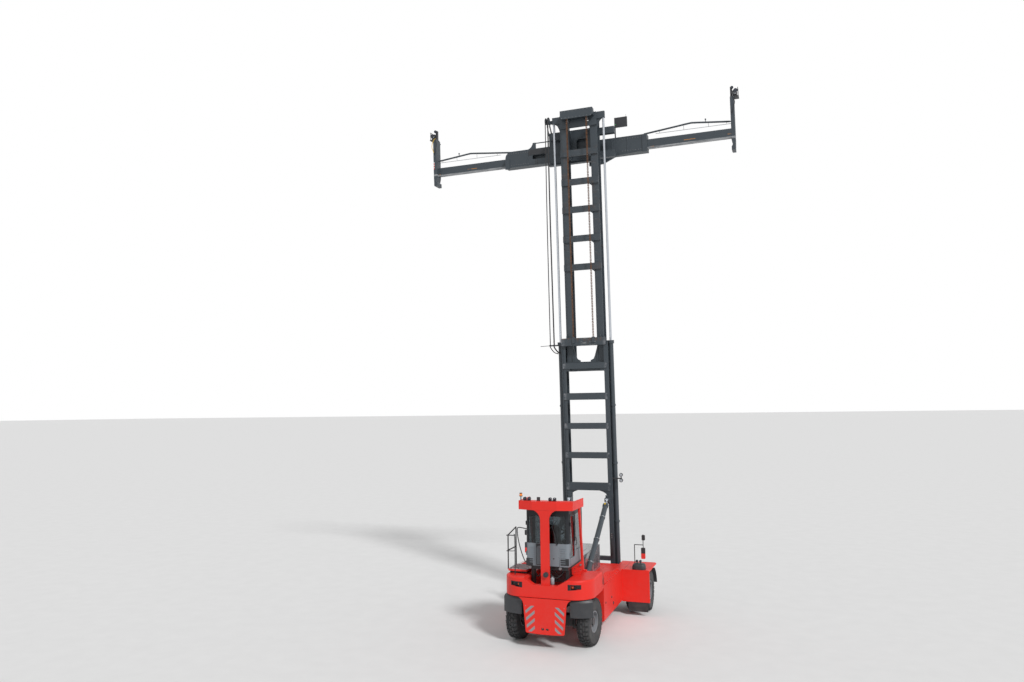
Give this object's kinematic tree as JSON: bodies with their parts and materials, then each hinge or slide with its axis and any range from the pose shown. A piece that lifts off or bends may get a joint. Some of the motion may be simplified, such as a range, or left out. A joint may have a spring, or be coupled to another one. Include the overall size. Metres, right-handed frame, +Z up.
{
  "type": "empty container handler",
  "caption": "Counterbalanced lift truck with a raised two-stage mast and a telescopic side-lifting spreader for empty containers.",
  "frame": {"origin": "on the ground under the middle of the drive axle, on the machine's centre plane", "axes": "+X to the machine's right, +Y forward towards the mast and spreader, +Z up"},
  "size_m": [12.44, 6.6273, 18.7233],
  "materials": {
    "red_paint": "gloss",
    "dark_grey_paint": "satin",
    "black_paint": "satin",
    "pale_grey_paint": "satin",
    "silver_paint": "satin",
    "tyre": "matte",
    "black_rubber": "matte",
    "black_plastic": "matte",
    "chrome": "polished",
    "rusty_chain": "rusty",
    "bare_steel": "brushed",
    "window_glass": "clear",
    "lamp_lens": "gloss",
    "seat_cloth": "woven"
  },
  "bodies": {
    "chassis": {"chassis_frame": "black_paint", "side_tanks": "red_paint", "deck": "red_paint", "counterweight": "red_paint", "rear_plate": "red_paint", "rear_mudguards": "black_plastic", "tail_lamps": "lamp_lens", "rear_guard": "red_paint", "guard_lamps": "black_plastic", "cab_mount": "black_paint", "cab_body": "pale_grey_paint", "cab_glass": "window_glass", "seat_cushions": "seat_cloth", "cab_controls": "black_plastic", "hood": "pale_grey_paint", "engine_block": "bare_steel", "gearbox": "bare_steel", "drive_axle": "black_paint", "steer_axle": "black_paint", "front_fenders": "red_paint", "front_mudguards": "black_plastic", "mud_flaps": "black_rubber", "fender_lamps_and_mirrors": "black_plastic", "access_platform": "black_paint"},
    "knuckle_right": {"knuckle_right": "black_paint"},
    "knuckle_left": {"knuckle_left": "black_paint"},
    "steer_wheel_right": {"steer_tyre_right": "tyre", "steer_rim_right": "silver_paint"},
    "steer_wheel_left": {"steer_tyre_left": "tyre", "steer_rim_left": "silver_paint"},
    "drive_wheels_right": {"drive_tyres_right": "tyre", "drive_rims_right": "silver_paint"},
    "drive_wheels_left": {"drive_tyres_left": "tyre", "drive_rims_left": "silver_paint"},
    "cab_door_right": {"cab_door_right": "black_paint", "door_glass_right": "window_glass"},
    "cab_door_left": {"cab_door_left": "black_paint", "door_glass_left": "window_glass"},
    "hood_lid": {"hood_lid": "pale_grey_paint"},
    "outer_mast": {"outer_mast": "dark_grey_paint", "lift_barrels": "dark_grey_paint", "mast_fittings": "black_plastic"},
    "tilt_barrel_right": {"tilt_barrel_right": "dark_grey_paint"},
    "tilt_barrel_left": {"tilt_barrel_left": "dark_grey_paint"},
    "tilt_rod_right": {"tilt_rod_right": "chrome"},
    "tilt_rod_left": {"tilt_rod_left": "chrome"},
    "inner_mast": {"inner_mast": "dark_grey_paint", "mast_header": "dark_grey_paint", "chain_sheaves": "bare_steel", "lift_rods": "chrome", "lift_chains": "rusty_chain", "lift_hoses": "black_rubber", "hose_pulleys": "dark_grey_paint"},
    "carriage": {"carriage": "dark_grey_paint"},
    "spreader": {"spreader_body": "dark_grey_paint", "spreader_board": "black_plastic"},
    "spreader_arm_right": {"spreader_arm_right": "dark_grey_paint", "arm_lamps_right": "black_plastic"},
    "spreader_arm_left": {"spreader_arm_left": "dark_grey_paint", "arm_lamps_left": "black_plastic"}
  },
  "joints": [
    {"name": "mast_tilt", "type": "hinge", "parent": "chassis", "child": "outer_mast", "pos_m": [0, 0, 1], "axis": [1, 0, 0], "range_deg": [-5.8, 2.2]},
    {"name": "mast_lift", "type": "slide", "parent": "outer_mast", "child": "inner_mast", "axis": [0, -0.0484, 0.9988], "range_m": [-7.9, 0], "deforming": ["lift_chains", "lift_hoses"]},
    {"name": "carriage_lift", "type": "slide", "parent": "inner_mast", "child": "carriage", "axis": [0, -0.0484, 0.9988], "range_m": [-7.9, 0]},
    {"name": "side_shift", "type": "slide", "parent": "carriage", "child": "spreader", "axis": [1, 0, 0], "range_m": [-0.14, 1.06]},
    {"name": "arm_right_slide", "type": "slide", "parent": "spreader", "child": "spreader_arm_right", "axis": [-1, 0, 0], "range_m": [0, 3.04]},
    {"name": "arm_left_slide", "type": "slide", "parent": "spreader", "child": "spreader_arm_left", "axis": [1, 0, 0], "range_m": [0, 3.04]},
    {"name": "steer_right", "type": "hinge", "parent": "chassis", "child": "knuckle_right", "pos_m": [0.8, -4.5, 0.685], "axis": [0, 0, 1], "range_deg": [-55, 65]},
    {"name": "steer_left", "type": "hinge", "parent": "chassis", "child": "knuckle_left", "pos_m": [-0.8, -4.5, 0.685], "axis": [0, 0, 1], "range_deg": [-55, 65]},
    {"name": "steer_wheel_right_spin", "type": "hinge", "parent": "knuckle_right", "child": "steer_wheel_right", "pos_m": [1.11579, -4.52763, 0.685], "axis": [0.9962, -0.0872, 0], "continuous": true},
    {"name": "steer_wheel_left_spin", "type": "hinge", "parent": "knuckle_left", "child": "steer_wheel_left", "pos_m": [-1.11579, -4.47237, 0.685], "axis": [0.9962, -0.0872, 0], "continuous": true},
    {"name": "drive_wheels_right_spin", "type": "hinge", "parent": "chassis", "child": "drive_wheels_right", "pos_m": [1.7975, 0, 0.685], "axis": [1, 0, 0], "continuous": true},
    {"name": "drive_wheels_left_spin", "type": "hinge", "parent": "chassis", "child": "drive_wheels_left", "pos_m": [-1.7975, 0, 0.685], "axis": [1, 0, 0], "continuous": true},
    {"name": "cab_door_right_swing", "type": "hinge", "parent": "chassis", "child": "cab_door_right", "pos_m": [0.696, -4.996, 3.1], "axis": [0, 0, -1], "range_deg": [0, 85]},
    {"name": "cab_door_left_swing", "type": "hinge", "parent": "chassis", "child": "cab_door_left", "pos_m": [-0.696, -4.996, 3.1], "axis": [0, 0, 1], "range_deg": [0, 85]},
    {"name": "hood_lid_swing", "type": "hinge", "parent": "chassis", "child": "hood_lid", "pos_m": [-0.576, -2.4, 2.2677], "axis": [0, -1, 0], "range_deg": [0, 80]},
    {"name": "tilt_barrel_right_pivot", "type": "hinge", "parent": "chassis", "child": "tilt_barrel_right", "pos_m": [0.7, -3.3, 1.62], "axis": [1, 0, 0], "range_deg": [-2.25, 0.9]},
    {"name": "tilt_barrel_left_pivot", "type": "hinge", "parent": "chassis", "child": "tilt_barrel_left", "pos_m": [-0.7, -3.3, 1.62], "axis": [1, 0, 0], "range_deg": [-2.25, 0.9]},
    {"name": "tilt_rod_right_slide", "type": "slide", "parent": "tilt_barrel_right", "child": "tilt_rod_right", "axis": [0, 0.8368, 0.5475], "range_m": [-0.09, 0.235]},
    {"name": "tilt_rod_left_slide", "type": "slide", "parent": "tilt_barrel_left", "child": "tilt_rod_left", "axis": [0, 0.8368, 0.5475], "range_m": [-0.09, 0.235]}
  ],
  "couplings": [
    {"joint": "carriage_lift", "follows": "mast_lift", "ratio": 1},
    {"joint": "arm_left_slide", "follows": "arm_right_slide", "ratio": 1},
    {"joint": "steer_left", "follows": "steer_right", "ratio": 1},
    {"joint": "tilt_barrel_right_pivot", "follows": "mast_tilt", "ratio": 0.378},
    {"joint": "tilt_barrel_left_pivot", "follows": "mast_tilt", "ratio": 0.378},
    {"joint": "tilt_rod_right_slide", "follows": "mast_tilt", "m_per_rad": -2.29},
    {"joint": "tilt_rod_left_slide", "follows": "mast_tilt", "m_per_rad": -2.29}
  ]
}
